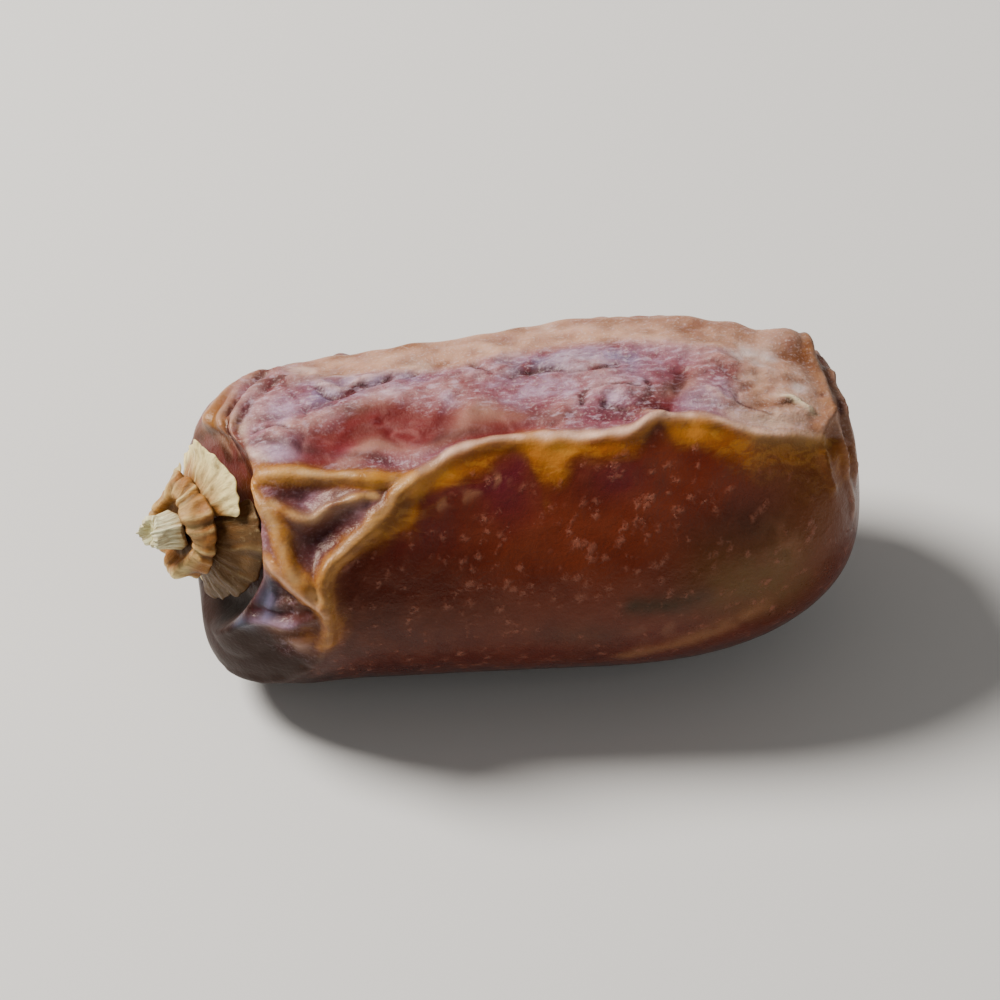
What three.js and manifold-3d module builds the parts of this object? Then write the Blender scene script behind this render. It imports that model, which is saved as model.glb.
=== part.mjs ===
// A semi-dry date, lying on its side: the fruit with its dried cap of three petals, the small sepal cup
// on them, and the stub of the strand that it was pulled from.
// Millimetres, +Z up. +X runs from the cap to the blunt tip of the fruit. The fruit rests on a small flat
// spot at z = 0, and the origin is on that plane, under the middle of the whole date.

import * as THREE from "three";
import { mergeVertices } from "three/addons/utils/BufferGeometryUtils.js";
import Module from "manifold-3d";

const wasm = await Module();
wasm.setup();

// Driving sizes of the fruit
const BODY_LENGTH = 40;
const HALF_WIDTH = 10.6;
const HALF_HEIGHT = 9.9;
const BASE_BLUNTNESS = 4; // exponent of the outline: 2 is an ellipse, higher is squarer
const TIP_BLUNTNESS = 2.8;
const TIP_BULGE = 0.13; // how much fuller the tip half is than the base half
const TIP_LIFT = 0.9; // how far the middle line rises from the base to the tip
const FRONT_SLANT = 0.2; // how far the base leans back beside the cap, per mm to the front
const BACK_SLANT = 0.14; // and per mm to the back
const SLANT_REACH = 6;
const REST_DEPTH = 8.7; // from the middle line at the base down to the flat spot

// How the skin has dried on to the flesh
const SINK = 0.75; // depth of the broad faces below the ridges
const SINK_REACH = 3.2; // distance from a ridge at which a face is nearly at its full depth
const PUCKER_COUNT = 11; // small folds round the cap
const PUCKER_HEIGHT = 0.22;
const PUCKER_RADIUS = 6.4;

// Driving sizes of the cap. Its seat is a flat on the fruit's base that faces a little to the front.
const SEAT_CENTRE = new THREE.Vector3(-17.3, -1, 2.5);
const SEAT_YAW = 24; // degrees from the fruit's axis towards the front
const SEAT_PITCH = 13; // degrees upwards
const SEAT_RADIUS = 4.8;
const SEAT_WALL = 1.6; // breadth of the slope from the seat up to the skin round it
const PETAL_REACH = [1, 4.8]; // from the axis to a petal's inner and outer edge
const PETAL_HALF_TURN = [54, 70]; // degrees that it spreads to each side, at those two edges
const PETAL_THICKNESS = 0.5;
const PETAL_RAMP = 0.42; // rise across a petal at its outer edge, so that it overlaps the next
const PETAL_RISE = 1.9; // how much higher its inner edge is: the petals close to a low cone
const PETAL_CLEARANCE = 0.75; // from the seat up to the middle of a petal's outer edge
const CUP_RADIUS = 2.9;
const CUP_FOOT = 2.4; // from the seat to the cup's lower edge
const CUP_RIM = 3.8;
const CUP_LOBE = 0.3;
const STUB_RADIUS = 1.25;
const STUB_REACH = 5.3; // from the seat to the broken end
const GAP = 0.15; // clearance between the stub and the cup

const FRUIT_SEGMENTS = 72;
const FRUIT_RINGS = 54;
const BASE_CROWDING = 1.25; // above 1, the rings are closer together towards the base

// Directions round the fruit, in degrees: 0 is the front (-Y), 90 the top, 180 the back, 270 underneath.
// A ridge of raised skin: crest height, half-width, and a path of [mm from the base, direction].
const RIDGES = [
  // the long golden ridge along the front of the upper face, which turns down at the cap
  { crest: 0.6, breadth: 0.75, path: [[5.9, -8], [6.4, 4], [6.8, 13], [6.9, 21], [7, 29], [7.6, 35],
    [8.6, 40], [10, 45.5], [11.2, 51], [12.4, 59], [14.2, 66], [16.2, 70], [20, 70], [24.7, 69.3],
    [27, 72.5], [29.5, 71.5], [31.5, 69], [33, 66.5], [36.4, 67]] },
  // the two cords that run from it to the skin above the cap, with a web between them
  { crest: 0.55, breadth: 0.65, path: [[2.9, 73], [4.6, 69], [6.2, 68], [7.9, 65.5], [9.4, 63.5], [11, 62],
    [12.8, 61]] },
  { crest: 0.6, breadth: 0.75, path: [[2.9, 73], [3.4, 64], [4.1, 55], [4.6, 48], [4.65, 41], [4.9, 34],
    [5.6, 28], [6.8, 21]] },
  // the shoulder behind the cap
  { crest: 0.5, breadth: 0.6, path: [[1.2, 88], [1.2, 98], [1.5, 110], [2.8, 119], [4.6, 123], [7, 122]] },
  // the far edge of the upper face
  { crest: 0.4, breadth: 0.9, path: [[3, 128], [9, 133], [16, 128], [23, 134], [30, 126], [36.6, 120]] },
  // the corner of the blunt tip
  { crest: 0.4, breadth: 0.6, path: [[36.4, 67], [37.2, 78], [37.2, 98], [36.6, 118], [36.4, 140]] },
  // the back: two long folds, joined to each other and to the far edge
  { crest: 0.5, breadth: 0.8, path: [[4, 172], [10, 165], [17, 172], [24, 163], [31, 170], [37, 160]] },
  { crest: 0.5, breadth: 0.8, path: [[3.4, 214], [11, 207], [18, 213], [26, 208], [34, 216], [38, 214]] },
  { crest: 0.35, breadth: 0.6, path: [[16.5, 171], [20, 186], [24, 195], [28, 207]] },
  { crest: 0.35, breadth: 0.6, path: [[9, 133], [11.5, 148], [15, 169]] },
  { crest: 0.35, breadth: 0.6, path: [[31, 170], [34, 187], [36, 202], [37.6, 214]] },
  { crest: 0.35, breadth: 0.6, path: [[4, 172], [5.4, 190], [9, 208]] },
  { crest: 0.35, breadth: 0.7, path: [[6, 246], [13, 240], [21, 247], [30, 242], [36, 248]] },
  // the pinched fold below the cap
  { crest: 0.4, breadth: 0.5, path: [[0.9, -10], [1.6, 4], [2.6, 9.5], [3.7, 9.5], [5, 12], [6.6, 16]] },
];

// Hollows in the skin: where, [half-length, half-breadth] in mm, and how deep. A bump has a depth below 0.
const HOLLOWS = [
  { along: 11.5, turn: 78, half: [4.8, 1.6], depth: 0.5 }, // the red trough in the upper face
  { along: 20, turn: 86, half: [4.5, 2.4], depth: 0.35 },
  { along: 28.8, turn: 86, half: [1.6, 2.8], depth: 0.45 }, // the groove across it
  { along: 35.8, turn: 124, half: [1.5, 1.9], depth: -0.85 }, // the knob at the far corner of the tip
  { along: 6.7, turn: 59, half: [1.6, 0.7], depth: 0.45 }, // the two cells of the web
  { along: 7.2, turn: 44, half: [1.7, 1.2], depth: 0.6 },
  { along: 33, turn: 0, half: [4.2, 3.2], depth: 0.35 }, // the low corner of the front
  { along: 24, turn: -46, half: [13, 4], depth: 0.4 }, // the flatter part under the front
  { along: 3.4, turn: 20, half: [1.4, 1.2], depth: 0.6 }, // the pinched skin below the cap
  { along: 17, turn: 149, half: [5.5, 1.8], depth: 0.5 }, // the cells of the back
  { along: 28, turn: 148, half: [5, 1.6], depth: 0.45 },
  { along: 13, turn: 190, half: [4.5, 2.2], depth: 0.55 },
  { along: 24, turn: 180, half: [4.5, 1.5], depth: 0.45 },
  { along: 32, turn: 196, half: [2.6, 2.2], depth: 0.45 },
  { along: 20, turn: 227, half: [7, 2.2], depth: 0.5 },
];

const radians = THREE.MathUtils.degToRad;
const smooth = THREE.MathUtils.smoothstep;
const mix = THREE.MathUtils.lerp;

// The frame of the seat: its +Z runs out of the fruit's base, its +Y is upwards.
const seatAxis = new THREE.Vector3(-1, 0, 0)
  .applyAxisAngle(new THREE.Vector3(0, 1, 0), radians(SEAT_PITCH))
  .applyAxisAngle(new THREE.Vector3(0, 0, 1), radians(SEAT_YAW));
const seatUp = new THREE.Vector3(0, 0, 1).projectOnPlane(seatAxis).normalize();
const seatFrame = new THREE.Matrix4().makeBasis(seatUp.clone().cross(seatAxis), seatUp, seatAxis);

// The outline's radius, as a share of the half-width, at share -1 (base) to 1 (tip) of the half-length.
function outline(share) {
  const bluntness = share < 0 ? BASE_BLUNTNESS : TIP_BLUNTNESS;
  return Math.pow(Math.max(0, 1 - Math.pow(Math.abs(share), bluntness)), 1 / bluntness);
}

// A point of the plump form, before the skin dried: share along the length, direction in radians,
// and the outline's radius there.
function plumpPoint(share, turn, radius = outline(share)) {
  const full = radius * (1 + TIP_BULGE * share * (1 - share * share));
  const front = Math.cos(turn) * HALF_WIDTH * full;
  const up = Math.sin(turn) * HALF_HEIGHT * full;
  const beside = Math.exp(-Math.pow((up - SEAT_CENTRE.z) / SLANT_REACH, 2));
  const slant = front > 0 ? FRONT_SLANT : -BACK_SLANT;
  const lean = slant * front * beside * smooth(-share, 0.3, 1);
  const lift = TIP_LIFT * Math.pow((share + 1) / 2, 2);
  return new THREE.Vector3((share * BODY_LENGTH) / 2 + lean, -front, up + lift);
}

function skinPoint(along, degrees) {
  return plumpPoint((2 * along) / BODY_LENGTH - 1, radians(degrees));
}

// A ridge's crest line as points on the plump form, each with the share of the crest's height there.
function crestLine(ridge) {
  const path = new THREE.SplineCurve(ridge.path.map(([along, turn]) => new THREE.Vector2(along, turn)));
  const steps = 20 * ridge.path.length;
  return path.getPoints(steps).map((p, i) => {
    const end = Math.min(i, steps - i) / steps;
    return { point: skinPoint(p.x, p.y), share: 0.35 + 0.65 * smooth(end, 0, 0.12) };
  });
}

const crests = RIDGES.map((ridge) => ({ ...ridge, line: crestLine(ridge) }));

// How far the dried skin stands above the plump form at one of its points, in mm.
function relief(p) {
  let height = 0;
  let nearest = Infinity;
  for (const { crest, breadth, line } of crests) {
    let best = Infinity;
    let share = 0;
    for (const sample of line) {
      const apart = sample.point.distanceToSquared(p);
      if (apart < best) {
        best = apart;
        share = sample.share;
      }
    }
    height = Math.max(height, crest * share * Math.exp(-best / (breadth * breadth)));
    nearest = Math.min(nearest, best);
  }
  height -= SINK * (1 - Math.exp(-nearest / (SINK_REACH * SINK_REACH)));

  for (const { along, turn, half, depth } of HOLLOWS) {
    const offset = p.clone().sub(skinPoint(along, turn));
    const across = Math.hypot(offset.y, offset.z) / half[1];
    const length = offset.x / half[0];
    height -= depth * Math.exp(-(length * length + across * across));
  }

  // small folds that run out from under the cap
  const out = Math.hypot(p.y - SEAT_CENTRE.y, p.z - SEAT_CENTRE.z);
  const atBase = smooth(-p.x, BODY_LENGTH / 2 - 5, BODY_LENGTH / 2 - 1.5);
  const nearCap = Math.exp(-Math.pow((out - PUCKER_RADIUS) / 1.8, 2));
  height += PUCKER_HEIGHT * atBase * nearCap * Math.cos(PUCKER_COUNT * Math.atan2(p.z, -p.y));

  // the raised ring and the dimple at the tip, where the flower's style was
  const fromTip = p.distanceTo(plumpPoint(1, 0));
  height += 0.25 * Math.exp(-Math.pow(fromTip / 1.6, 2)) - 0.75 * Math.exp(-Math.pow(fromTip / 0.8, 2));
  return height;
}

// The skin pressed flat where the cap sits.
function seated(p) {
  const offset = p.clone().sub(SEAT_CENTRE);
  const height = offset.dot(seatAxis);
  const out = offset.addScaledVector(seatAxis, -height).length();
  const pressed = p.x < -BODY_LENGTH / 4 ? 1 - smooth(out, SEAT_RADIUS, SEAT_RADIUS + SEAT_WALL) : 0;
  return p.addScaledVector(seatAxis, -height * pressed);
}

// The mesh with its shared vertices merged, so that it is one closed surface.
function closed(geometry) {
  geometry.deleteAttribute("normal");
  geometry.deleteAttribute("uv");
  return mergeVertices(geometry, 1e-4);
}

// Moves every vertex of a geometry to where the function puts it.
function reshape(geometry, place) {
  const position = geometry.getAttribute("position");
  const vertex = new THREE.Vector3();
  for (let i = 0; i < position.count; i++) {
    const moved = place(vertex.fromBufferAttribute(position, i), i);
    position.setXYZ(i, moved.x, moved.y, moved.z);
  }
  return geometry;
}

function solidOf(geometry) {
  return new wasm.Manifold(
    new wasm.Mesh({
      numProp: 3,
      vertProperties: geometry.getAttribute("position").array,
      triVerts: new Uint32Array(geometry.index.array),
    }),
  );
}

function geometryOf(solid) {
  const mesh = solid.getMesh();
  return new THREE.BufferGeometry()
    .setAttribute("position", new THREE.BufferAttribute(mesh.vertProperties, 3))
    .setIndex(new THREE.BufferAttribute(mesh.triVerts, 1));
}

// The fruit: a lathed outline made wider than high, wrinkled, seated, and cut flat where it rests.
function fruitGeometry() {
  const OUTLINE_POINTS = 400;
  const half = Array.from({ length: OUTLINE_POINTS + 1 }, (_, i) => {
    const share = Math.cos((Math.PI * i) / OUTLINE_POINTS); // from the tip to the base
    return new THREE.Vector3(outline(share), (share * BODY_LENGTH) / (2 * HALF_WIDTH), 0);
  });
  const even = new THREE.CatmullRomCurve3(half, false, "chordal");
  even.arcLengthDivisions = 2 * OUTLINE_POINTS;
  const profile = Array.from({ length: FRUIT_RINGS + 1 }, (_, i) => {
    const p = even.getPointAt(1 - Math.pow(1 - i / FRUIT_RINGS, BASE_CROWDING));
    return new THREE.Vector2(Math.max(0, p.x), p.y);
  });
  profile[0].x = 0;
  profile[FRUIT_RINGS].x = 0;

  const lathe = closed(new THREE.LatheGeometry(profile, FRUIT_SEGMENTS));
  const plump = reshape(lathe, (v) => {
    const share = THREE.MathUtils.clamp((v.y * 2 * HALF_WIDTH) / BODY_LENGTH, -1, 1);
    return plumpPoint(share, Math.atan2(v.x, v.z), Math.hypot(v.x, v.z));
  });
  plump.computeVertexNormals();
  const normals = plump.getAttribute("normal").clone();
  plump.deleteAttribute("normal");
  const out = new THREE.Vector3();
  const dried = reshape(plump, (v, i) =>
    seated(v.clone().addScaledVector(out.fromBufferAttribute(normals, i), relief(v))),
  );

  const slab = closed(new THREE.BoxGeometry(2 * BODY_LENGTH, 4 * HALF_WIDTH, 10));
  slab.translate(0, 0, -REST_DEPTH - 5);
  return geometryOf(solidOf(dried).subtract(solidOf(slab)));
}

// The cap's pieces are shaped in the frame of the seat.

// A petal: a sector of a low cone, with round corners and a rounded edge. It climbs from one side to the
// other, so that each of the three lies over the next.
function petalGeometry({ flare }) {
  const SQUARENESS = 6; // exponent of the plan's round corners
  return reshape(closed(new THREE.SphereGeometry(1, 40, 14)), (v) => {
    const plan = Math.hypot(v.x, v.y) || 1;
    const corner = Math.abs(v.x / plan) ** SQUARENESS + Math.abs(v.y / plan) ** SQUARENESS;
    const spread = corner ** (-1 / SQUARENESS);
    const outward = (1 + v.y * spread) / 2;
    const side = v.x * spread;
    const radius = mix(...PETAL_REACH, outward);
    const turn = radians(mix(...PETAL_HALF_TURN, outward)) * side;
    const middle = PETAL_CLEARANCE + PETAL_RISE * (1 - outward) + PETAL_RAMP * side * outward
      + flare * outward * outward * (1 - side * side);
    const half = (PETAL_THICKNESS / 2) * Math.sign(v.z) * Math.sqrt(Math.abs(v.z));
    return new THREE.Vector3(Math.sin(turn) * radius, Math.cos(turn) * radius, middle + half);
  });
}

// The sepal cup: a low hollow cone with three blunt lobes, lathed and then pulled up at its lobes.
function cupGeometry() {
  const profile = [
    [0, CUP_FOOT + 0.55],
    [1, CUP_FOOT + 0.55],
    [CUP_RADIUS * 0.93, CUP_FOOT],
    [CUP_RADIUS, CUP_FOOT + 0.25],
    [CUP_RADIUS * 0.86, CUP_FOOT + 0.85],
    [CUP_RADIUS * 0.7, CUP_RIM],
    [CUP_RADIUS * 0.6, CUP_RIM - 0.05],
    [STUB_RADIUS + 0.3, CUP_RIM - 0.5],
    [STUB_RADIUS + 0.2, CUP_FOOT + 0.9],
    [0, CUP_FOOT + 0.9],
  ].map(([radius, height]) => new THREE.Vector2(radius, height));
  return reshape(closed(new THREE.LatheGeometry(profile, 36)), (v) => {
    const rim = smooth(v.y, CUP_FOOT + 0.6, CUP_RIM);
    const lobe = Math.cos(3 * Math.atan2(v.x, v.z));
    return new THREE.Vector3(v.x, -v.z, v.y + CUP_LOBE * lobe * rim);
  });
}

// The stub of the strand: a short stalk, a little waisted, with a torn end.
function stubGeometry() {
  const foot = CUP_FOOT + 0.9 + GAP;
  const length = STUB_REACH - foot;
  const profile = [
    [0, 0],
    [STUB_RADIUS * 0.95, 0],
    [STUB_RADIUS, 0.2],
    [STUB_RADIUS * 0.82, 0.55],
    [STUB_RADIUS * 0.9, 0.85],
    [STUB_RADIUS * 0.55, 1],
    [0, 0.86],
  ].map(([radius, share]) => new THREE.Vector2(radius, foot + share * length));
  return reshape(closed(new THREE.LatheGeometry(profile, 16)), (v) => {
    const high = smooth(v.y, foot + length / 2, STUB_REACH);
    const edge = smooth(Math.hypot(v.x, v.z), 0, STUB_RADIUS / 2);
    const torn = 0.28 * high * edge * Math.sin(2 * Math.atan2(v.x, v.z) + 0.6);
    return new THREE.Vector3(v.x, -v.z * 0.85, v.y + torn);
  });
}

function piece(name, geometry, material) {
  const mesh = new THREE.Mesh(geometry, material);
  mesh.name = name;
  return mesh;
}

function finish(name, color, roughness) {
  return new THREE.MeshStandardMaterial({ name, color, roughness, metalness: 0 });
}

const skin = finish("skin", 0x6e3526, 0.42);
const husk = finish("husk", 0xb98a4e, 0.7);
const fibre = finish("fibre", 0xd8cfa6, 0.85);

const cap = new THREE.Group();
cap.name = "cap";
cap.position.copy(SEAT_CENTRE);
cap.quaternion.setFromRotationMatrix(seatFrame);
const petals = [
  { name: "petal_upper", turn: 20, flare: 1.1 },
  { name: "petal_back", turn: 140, flare: 0 },
  { name: "petal_front", turn: 260, flare: 0 },
];
for (const { name, turn, flare } of petals) {
  const petal = piece(name, petalGeometry({ flare }), husk);
  petal.rotation.z = radians(turn);
  cap.add(petal);
}
const cup = piece("sepal_cup", cupGeometry(), husk);
cup.rotation.z = radians(38);
cap.add(cup, piece("strand_stub", stubGeometry(), fibre));

const date = new THREE.Group();
date.name = "date";
date.add(piece("fruit", fruitGeometry(), skin), cap);

// Stand the whole date on z = 0, with the middle of its plan over the origin.
const extent = new THREE.Box3().setFromObject(date, true);
const middle = extent.getCenter(new THREE.Vector3());
date.position.set(-middle.x, -middle.y, -extent.min.z);

export default date;
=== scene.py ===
"""A semi-dry date lying on its side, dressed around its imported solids.

Metres, in the frame of the solids: +X runs from the cap to the blunt tip, +Z is up, and the fruit rests
on z = 0. Shapes are worked out in millimetres and turned to metres by MM.
"""
import math

import bmesh
import bpy
import numpy as np
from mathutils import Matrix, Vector


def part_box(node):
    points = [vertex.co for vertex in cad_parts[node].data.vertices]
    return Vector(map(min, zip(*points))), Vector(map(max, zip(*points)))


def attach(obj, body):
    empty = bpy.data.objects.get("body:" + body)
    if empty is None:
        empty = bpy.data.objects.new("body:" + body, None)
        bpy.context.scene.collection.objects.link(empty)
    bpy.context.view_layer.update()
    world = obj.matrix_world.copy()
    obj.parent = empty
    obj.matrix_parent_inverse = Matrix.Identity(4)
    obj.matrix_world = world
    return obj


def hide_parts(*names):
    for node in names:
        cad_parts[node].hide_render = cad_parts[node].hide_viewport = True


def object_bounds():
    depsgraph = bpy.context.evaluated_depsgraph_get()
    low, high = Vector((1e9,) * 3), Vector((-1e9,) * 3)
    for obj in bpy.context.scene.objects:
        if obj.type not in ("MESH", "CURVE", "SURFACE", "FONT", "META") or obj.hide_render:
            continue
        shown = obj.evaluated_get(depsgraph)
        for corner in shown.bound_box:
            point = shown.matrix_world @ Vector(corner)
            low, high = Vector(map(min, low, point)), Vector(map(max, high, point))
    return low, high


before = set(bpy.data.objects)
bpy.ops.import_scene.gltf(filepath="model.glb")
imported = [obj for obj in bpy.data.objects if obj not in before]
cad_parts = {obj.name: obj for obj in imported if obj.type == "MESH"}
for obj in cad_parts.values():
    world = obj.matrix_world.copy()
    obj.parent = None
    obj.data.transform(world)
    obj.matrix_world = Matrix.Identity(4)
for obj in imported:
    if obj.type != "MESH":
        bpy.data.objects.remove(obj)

cad_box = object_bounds()

# ------------------------------
# The strand stub: what is left of the strand that the date hung from, a short bundle of pale fibres
# round a greenish pith. It grew into the sepal cup and was torn off when the date was picked.
MM = 0.001
SEAT_CENTRE = np.array([-17.3, -1, 2.5])
SEAT_YAW = math.radians(24)
SEAT_PITCH = math.radians(13)
CUP_RADIUS = 2.9
CUP_FOOT = 2.4
CUP_RIM = 3.8
CUP_LOBE = 0.3
CUP_TURN = math.radians(38)
STUB_RADIUS = 1.25
STUB_REACH = 5.3
STUB_FOOT = 3.45

# the cap's own frame, out of the fruit's base: across to the front, up, and outwards
level = -math.cos(SEAT_PITCH)
seat_axis = np.array([math.cos(SEAT_YAW) * level, math.sin(SEAT_YAW) * level, math.sin(SEAT_PITCH)])
seat_up = np.array([0, 0, 1]) - seat_axis * seat_axis[2]
seat_up /= np.linalg.norm(seat_up)
seat_frame = np.stack([np.cross(seat_up, seat_axis), seat_up, seat_axis])


def smooth(x, low, high):
    """0 at low and 1 at high, with soft ends. Low may be the larger of the two."""
    t = np.clip((x - low) / (high - low), 0, 1)
    return t * t * (3 - 2 * t)


def bell(x, width):
    """1 where x is 0, fading out over the width."""
    return np.exp(-((x / width) ** 2))


# where the solids have the seat: their cup's box against the same cup drawn on the seat
around = np.radians(np.arange(0, 360, 10))[:, None]
cup_radius = CUP_RADIUS * np.array([0.93, 1, 0.86, 0.7, 0.6])
cup_height = np.array([CUP_FOOT, CUP_FOOT + 0.25, CUP_FOOT + 0.85, CUP_RIM, CUP_RIM - 0.05])
lobed = cup_height + CUP_LOBE * np.cos(3 * around) * smooth(cup_height, CUP_FOOT + 0.6, CUP_RIM)
across = cup_radius * np.sin(around + CUP_TURN)
drawn = np.stack([across, -cup_radius * np.cos(around + CUP_TURN), lobed], axis=-1)
drawn = drawn.reshape(-1, 3) @ seat_frame + SEAT_CENTRE
place = np.mean(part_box("sepal_cup"), axis=0) / MM - (drawn.min(0) + drawn.max(0)) / 2


def vector_array(layer, name):
    """A mesh layer's vectors, one in each row."""
    flat = np.empty(len(layer) * 3)
    layer.foreach_get(name, flat)
    return flat.reshape(-1, 3)


def as_mesh(name, bm):
    mesh = bpy.data.meshes.new(name)
    bm.to_mesh(mesh)
    bm.free()
    return mesh


def linked(name, data):
    """A new object in the scene."""
    thing = bpy.data.objects.new(name, data)
    bpy.context.collection.objects.link(thing)
    return thing


def ball(name, segments, rings):
    """A closed ball of faces to reshape: its mesh, and where each vertex is on the unit sphere."""
    bm = bmesh.new()
    bmesh.ops.create_uvsphere(bm, u_segments=segments, v_segments=rings, radius=1)
    mesh = as_mesh(name, bm)
    return mesh, vector_array(mesh.vertices, "co")


def cloudy(points, size, seed, waves=40):
    """Soft noise of about -1 to 1, with patches of the given size in mm."""
    draw = np.random.default_rng(seed)
    way = draw.standard_normal((waves, 3))
    way *= (2 * math.pi / size * draw.uniform(0.35, 1, waves) / np.linalg.norm(way, axis=1))[:, None]
    return np.sin(points @ way.T + draw.uniform(0, 2 * math.pi, waves)).sum(1) / math.sqrt(waves)


def srgb(red, green, blue):
    """A colour named by its screen values of 0 to 255, as the shader's linear light."""
    value = np.array([red, green, blue]) / 255
    return np.where(value <= 0.04045, value / 12.92, ((value + 0.055) / 1.055) ** 2.4)


def paint(colour, over, amount):
    """Lays a second colour over the first, where the amount is above 0."""
    colour[:] = over + (colour - over) * (1 - np.clip(amount, 0, 1))[:, None]


class Nodes:
    """A material's node tree, with a short call for each kind of node that the finishes use."""

    def __init__(self, name):
        self.material = bpy.data.materials.new(name)
        self.material.use_nodes = True
        self.tree = self.material.node_tree
        self.shader = self.tree.nodes["Principled BSDF"]

    def add(self, kind, values, **settings):
        node = self.tree.nodes.new(kind)
        for setting, value in settings.items():
            setattr(node, setting, value)
        for socket, value in values.items():
            self.set(node.inputs[socket], value)
        return node

    def set(self, socket, value):
        if isinstance(value, bpy.types.NodeSocket):
            self.tree.links.new(value, socket)
        else:
            socket.default_value = (*value, 1) if isinstance(value, np.ndarray) else value

    def millimetres(self, stretch=(1, 1, 1)):
        where = self.add("ShaderNodeTexCoord", {}).outputs["Object"]
        scale = [s / MM for s in stretch]
        return self.add("ShaderNodeMapping", {"Vector": where, "Scale": scale}).outputs["Vector"]

    def attribute(self, name, output="Fac"):
        return self.add("ShaderNodeAttribute", {}, attribute_name=name).outputs[output]

    def noise(self, where, size, detail, roughness, distortion=0):
        values = {"Vector": where, "Scale": 1 / size, "Detail": detail, "Roughness": roughness,
                  "Distortion": distortion}
        return self.add("ShaderNodeTexNoise", values).outputs["Fac"]

    def cells(self, where, size):
        return self.add("ShaderNodeTexVoronoi", {"Vector": where, "Scale": 1 / size}).outputs["Distance"]

    def math(self, operation, a, b, clamp=False):
        return self.add("ShaderNodeMath", {0: a, 1: b}, operation=operation, use_clamp=clamp).outputs[0]

    def times(self, a, b):
        return self.math("MULTIPLY", a, b)

    def between(self, value, low, high, at_low=0.0, at_high=1.0):
        values = {"Value": value, "From Min": low, "From Max": high, "To Min": at_low, "To Max": at_high}
        return self.add("ShaderNodeMapRange", values, interpolation_type="SMOOTHSTEP").outputs["Result"]

    def mix(self, amount, a, b, blend_type="MIX"):
        return self.add("ShaderNodeMix", {0: amount, 6: a, 7: b}, data_type="RGBA",
                        blend_type=blend_type).outputs[2]

    def grown(self, squeeze):
        """Places on a fibrous piece, squeezed lengthways so that noise runs in threads."""
        lengthways = self.times(self.attribute("grain_along"), squeeze)
        places = {"X": self.attribute("grain_round"), "Y": lengthways}
        return self.add("ShaderNodeCombineXYZ", places).outputs["Vector"]

    def shade(self, finish):
        for socket, value in finish.items():
            self.set(self.shader.inputs[socket], value)

    def bump(self, height, depth_mm, before=None):
        """A height of 0 to 1 as a relief of the given depth."""
        node = self.add("ShaderNodeBump", {"Height": height, "Strength": 1.0, "Distance": depth_mm * MM})
        if before is not None:
            self.set(node.inputs["Normal"], before)
        return node.outputs["Normal"]


def mask(mesh, name, values):
    """Gives each vertex a number for the material to read."""
    mesh.attributes.new(name, "FLOAT", "POINT").data.foreach_set("value", values)


def finish(node, mesh, points, tint, material, slot):
    """The reshaped and painted mesh as the piece that replaces a node of the solids."""
    mesh.vertices.foreach_set("co", (points * MM).ravel())
    mesh.update()
    mesh.shade_smooth()
    colour = mesh.attributes.new("tint", "FLOAT_COLOR", "POINT")
    colour.data.foreach_set("color", np.column_stack([tint, np.ones(len(tint))]).ravel())
    mesh.materials.append(material)
    piece = linked("date_" + node, mesh)
    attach(piece, "root")
    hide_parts(node)


def on_seat(points):
    """From the cap's own frame to the fruit's, in mm."""
    return points @ seat_frame + SEAT_CENTRE + place


def lathed(sphere, profile):
    """A profile of [radius, height], from its top middle to its bottom middle, turned about the axis of
    the cap: each vertex's radius, direction and height."""
    profile = np.array(profile, float)
    length = np.append(0, np.cumsum(np.linalg.norm(np.diff(profile, axis=0), axis=1)))
    share = np.arccos(np.clip(sphere[:, 2], -1, 1)) / math.pi * length[-1]
    radius = np.interp(share, length, profile[:, 0])
    height = np.interp(share, length, profile[:, 1])
    return radius, np.arctan2(sphere[:, 1], sphere[:, 0]), height


def standing(radius, turn, height):
    return np.stack([radius * np.cos(turn), radius * np.sin(turn), height], axis=-1)


mesh, sphere = ball("strand_stub", 128, 96)
length = STUB_REACH - STUB_FOOT
# its profile, from the top middle down, as shares of its radius and length
shares = [(0, 0.8), (0.45, 0.84), (0.66, 1), (0.86, 0.93), (0.84, 0.55), (1.02, 0.18), (0.9, 0), (0, 0)]
profile = np.array(shares) * (STUB_RADIUS, length) + (0, STUB_FOOT)
radius, turn, height = lathed(sphere, profile)
plain = standing(radius, turn, height)
in_height = (height - STUB_FOOT) / length
edge = smooth(radius, 0.3 * STUB_RADIUS, 0.7 * STUB_RADIUS) * smooth(in_height, 0.5, 0.95)
fibres = sum(np.sin(count * turn + 2.5 * math.sin(count)) for count in (7, 11, 16, 23)) / 4
# the end is torn into two prongs and a fringe of fibres
height = (height + edge * (0.3 * np.sin(2 * turn + 0.6) + 0.16 * fibres)
          - 0.1 * cloudy(plain, 1.1, 41) * (1 - edge))
pith = bell(radius, 0.42 * STUB_RADIUS) * smooth(in_height, 0.5, 0.8)
radius = radius * (1 + 0.07 * fibres * smooth(in_height, 0, 0.3)) + 0.12 * edge * np.sin(turn * 3 + 1)
points = standing(radius, turn, height + 0.22 * pith)
points[:, 1] *= 0.85
points += 0.05 * cloudy(plain, 0.7, 42)[:, None] * seat_frame[2]
FIBRE_PALE = srgb(242, 238, 192)
FIBRE_TAN = srgb(176, 146, 92)
FIBRE_BROWN = srgb(106, 72, 36)
PITH = srgb(186, 184, 112)
tint = np.tile(FIBRE_PALE, (len(points), 1))
paint(tint, FIBRE_TAN, smooth(fibres, 0.1, -0.6) * 0.5 + smooth(in_height, 0.5, 0.1) * 0.8)
paint(tint, FIBRE_BROWN, smooth(in_height, 0.2, 0.0) * 0.7)
paint(tint, PITH, 1.3 * pith)
mask(mesh, "grain_round", turn * STUB_RADIUS)
mask(mesh, "grain_along", height)

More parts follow.
